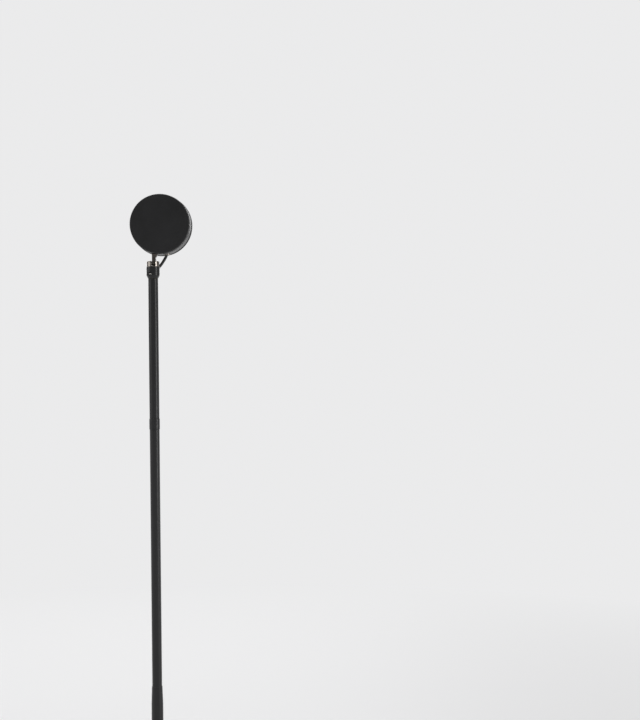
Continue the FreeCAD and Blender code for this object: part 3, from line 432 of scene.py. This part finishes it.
def circuitBoard(name, mask, copper, pitch):
    # tracks that show through between blocks of solder mask in two shades
    s = Shader(name)
    bricks = s.add("ShaderNodeTexBrick", offset=board["stagger"])
    bricks.inputs["Scale"].default_value = pitch
    bricks.inputs["Color1"].default_value = (*mask, 1)
    bricks.inputs["Color2"].default_value = (*[board["shade"] * c for c in mask], 1)
    bricks.inputs["Mortar"].default_value = (*copper, 1)
    bricks.inputs["Mortar Size"].default_value = board["track"]
    s.join(s.place, bricks.inputs["Vector"])
    return s.set(
        Base_Color=bricks.outputs["Color"],
        Roughness=s.spread(s.noise(board["cloud"]), 0.3, 0.7, 0.25, 0.4),
        Normal=s.bump(bricks.outputs["Fac"], 0.2, board["depth"]),
    )


chip = {"dark": (0.80, 0.62, 0.10), "light": (0.90, 0.75, 0.20), "grain": 900}


def phosphor(name):
    s = Shader(name)
    tint = s.colours(s.noise(chip["grain"], 3.0), [(0.35, chip["dark"]), (0.65, chip["light"])])
    return s.set(Base_Color=tint, Roughness=0.35, Subsurface_Weight=0.2, IOR=1.45)


finishes = {
    # metals and plastics: the dark and the light tint, then gloss as a low and a high roughness
    "satinBlack": blackPaint("satinBlack"),
    "baseBlack": blackPaint("baseBlack", gloss=(0.36, 0.43)),
    "poleBlack": blackPaint("poleBlack", gloss=(0.27, 0.36), streak=(14, 14, 0.35)),
    "plateBlack": blackPaint("plateBlack", gloss=(0.5, 0.62)),
    "collarBlack": blackPaint("collarBlack", gloss=(0.25, 0.36), streak=(1, 1, 30)),
    "nickel": turnedMetal("nickel", (0.24, 0.21, 0.185), (0.46, 0.43, 0.395), (0.15, 0.27)),
    # set screw: a painted highlight of bare steel in its slot
    "slotGlintScrew": slotGlintScrew("slotGlintScrew"),
    # the tongue's steel is much darker than the fork's nickel, partly as painted shade for the slot between
    # the fork's ears
    "darkSteelPaintedShade": turnedMetal("darkSteelPaintedShade", (0.045, 0.04, 0.036), (0.12, 0.108, 0.098), (0.3, 0.45), lines=0.2),
    "turnedSteel": turnedMetal("turnedSteel", (0.42, 0.42, 0.43), (0.62, 0.62, 0.63), (0.2, 0.34)),
    "aluminium": turnedMetal(
        "aluminium", (0.58, 0.58, 0.59), (0.76, 0.76, 0.77), (0.24, 0.4), axis="Y", lines=0.2,
    ),
    "brass": turnedMetal("brass", (0.52, 0.36, 0.14), (0.78, 0.58, 0.28), (0.2, 0.34)),
    "iron": castIron("iron"),
    "jacket": jacket("jacket"),
    "footRubber": mouldedPlastic(
        "footRubber", (0.012, 0.012, 0.012), (0.024, 0.024, 0.024), (0.6, 0.75), grain=900, strength=0.4,
    ),
    "blackPlastic": mouldedPlastic("blackPlastic", (0.014, 0.014, 0.015), (0.026, 0.026, 0.028)),
    "greyPlastic": mouldedPlastic("greyPlastic", (0.05, 0.05, 0.055), (0.085, 0.085, 0.09)),
    "whitePlastic": mouldedPlastic("whitePlastic", (0.72, 0.71, 0.68), (0.82, 0.81, 0.78)),
    "clearGlass": clearGlass("clearGlass"),
    "sunsetGlass": sunsetGlass("sunsetGlass"),
    "greenBoard": circuitBoard("greenBoard", (0.02, 0.13, 0.06), (0.05, 0.24, 0.11), pitch=260),
    "whiteBoard": circuitBoard("whiteBoard", (0.78, 0.78, 0.75), (0.62, 0.62, 0.58), pitch=180),
    "phosphor": phosphor("phosphor"),
}

finishOf = {
    "satinBlack": ("drum_housing", "rear_cover", "front_bezel", "lens_barrel", "lens_ring"),
    "baseBlack": ("base_cover",),
    "poleBlack": ("upper_pole", "lower_pole", "pole_coupling", "pole_ferrule"),
    "plateBlack": ("bottom_plate",),
    # the tongue: darker steel, partly painted shade between the fork's ears
    "darkSteelPaintedShade": ("tongue_bracket",),
    "collarBlack": ("swivel_collar",),
    "nickel": ("hinge_fork", "lead_gland", "gland_nut"),
    "turnedSteel": (
        "hinge_screw", "bracket_screws", "bottom_screws", "board_screws", "heat_sink_screws",
        "led_board_screws", "pole_washer", "pole_nut", "inlet_socket", "button_spring",
    ),
    "aluminium": ("heat_sink", "light_funnel", "filter_holder"),
    "slotGlintScrew": ("set_screw",),
    "brass": ("pole_spigot",),
    "iron": ("base_weight",),
    "footRubber": ("foot_ring", "lens_gasket"),
    "blackPlastic": ("push_button",),
    "greyPlastic": ("switch_body", "switch_plunger", "lead_plug"),
    "whitePlastic": ("friction_washers",),
    "clearGlass": ("front_lens", "condenser_lens"),
    "sunsetGlass": ("colour_filter",),
    "greenBoard": ("control_board",),
    "whiteBoard": ("led_board",),
    "phosphor": ("led_chip",),
}


def dress(obj, finish):
    obj.data.materials.clear()
    obj.data.materials.append(finishes[finish])


def dressAll():
    for finish, names in finishOf.items():
        for name in names:
            dress(nodes[name], finish)
    for piece in leads:
        dress(piece, "jacket")


dressAll()
print("finishes are on")


# room and light

room = {"pale": (0.83, 0.83, 0.835), "floorSize": 30.0, "near": 0.45, "far": 1.3, "ambient": 0.38}
lights = {
    # place and size in metres, power in watts, and the height that each one aims at
    "topBox": {"at": (0.1, 0.3, 2.7), "size": (2.4, 2.4), "power": 31, "aim": 0.0},
    "farBox": {"at": (-0.5, 2.3, 1.3), "size": (2.2, 1.4), "power": 22, "aim": 0.5},
    "leftBox": {"at": (-2.0, -0.7, 1.2), "size": (1.2, 1.6), "power": 8, "aim": 0.45},
    "rightStrip": {"at": (2.1, -0.9, 0.96), "size": (0.36, 1.86), "power": 15, "aim": 0.96},
}


def softBox(name, values):
    data = bpy.data.lights.new(name, "AREA")
    data.shape = "RECTANGLE"
    data.size, data.size_y = values["size"]
    data.energy = values["power"]
    lamp = linked(bpy.data.objects.new(name, data))
    lamp.location = values["at"]
    aim = Vector((0, 0, values["aim"])) - lamp.location
    lamp.rotation_euler = aim.to_track_quat("-Z", "Y").to_euler()


def makeFloor():
    # it fades into the background further out, and keeps the lamp's shadow close by
    bm = bmesh.new()
    bmesh.ops.create_grid(bm, x_segments=2, y_segments=2, size=room["floorSize"] / 2)
    floor = meshFrom(bm, "floor", smooth=False)
    s = Shader("floorPaint")
    reach = s.add("ShaderNodeVectorMath", operation="LENGTH")
    s.join(s.add("ShaderNodeNewGeometry").outputs["Position"], reach.inputs[0])
    away = s.spread(reach.outputs["Value"], room["near"], room["far"])
    path = s.add("ShaderNodeLightPath")
    seen = s.both(path.outputs["Is Camera Ray"], path.outputs["Is Glossy Ray"], "MAXIMUM")
    seen = s.both(seen, path.outputs["Is Transmission Ray"], "MAXIMUM")
    mix = s.add("ShaderNodeMixShader")
    glow = s.add("ShaderNodeEmission")
    glow.inputs["Color"].default_value = (*room["pale"], 1)
    s.join(s.both(seen, away), mix.inputs["Fac"])
    s.join(s.surface.outputs["BSDF"], mix.inputs[1])
    s.join(glow.outputs["Emission"], mix.inputs[2])
    s.join(mix.outputs["Shader"], s.tree.nodes["Material Output"].inputs["Surface"])
    s.set(Base_Color=(*room["pale"], 1), Roughness=0.6)
    floor.data.materials.append(s.material)


def makeWorld():
    world = bpy.data.worlds.new("world")
    world.use_nodes = True
    bpy.context.scene.world = world
    tree = world.node_tree
    back = tree.nodes["Background"]
    back.inputs["Color"].default_value = (*room["pale"], 1)
    back.inputs["Strength"].default_value = room["ambient"]
    shown = tree.nodes.new("ShaderNodeBackground")
    shown.inputs["Color"].default_value = (*room["pale"], 1)
    path = tree.nodes.new("ShaderNodeLightPath")
    mix = tree.nodes.new("ShaderNodeMixShader")
    most = tree.nodes.new("ShaderNodeMath")
    most.operation = "MAXIMUM"
    tree.links.new(path.outputs["Is Camera Ray"], most.inputs[0])
    tree.links.new(path.outputs["Is Transmission Ray"], most.inputs[1])
    tree.links.new(most.outputs[0], mix.inputs["Fac"])
    tree.links.new(back.outputs[0], mix.inputs[1])
    tree.links.new(shown.outputs[0], mix.inputs[2])
    tree.links.new(mix.outputs[0], tree.nodes["World Output"].inputs["Surface"])


for name, values in lights.items():
    softBox(name, values)
makeFloor()
makeWorld()
bpy.context.scene.view_settings.view_transform = "Standard"
print("room and lights are set")
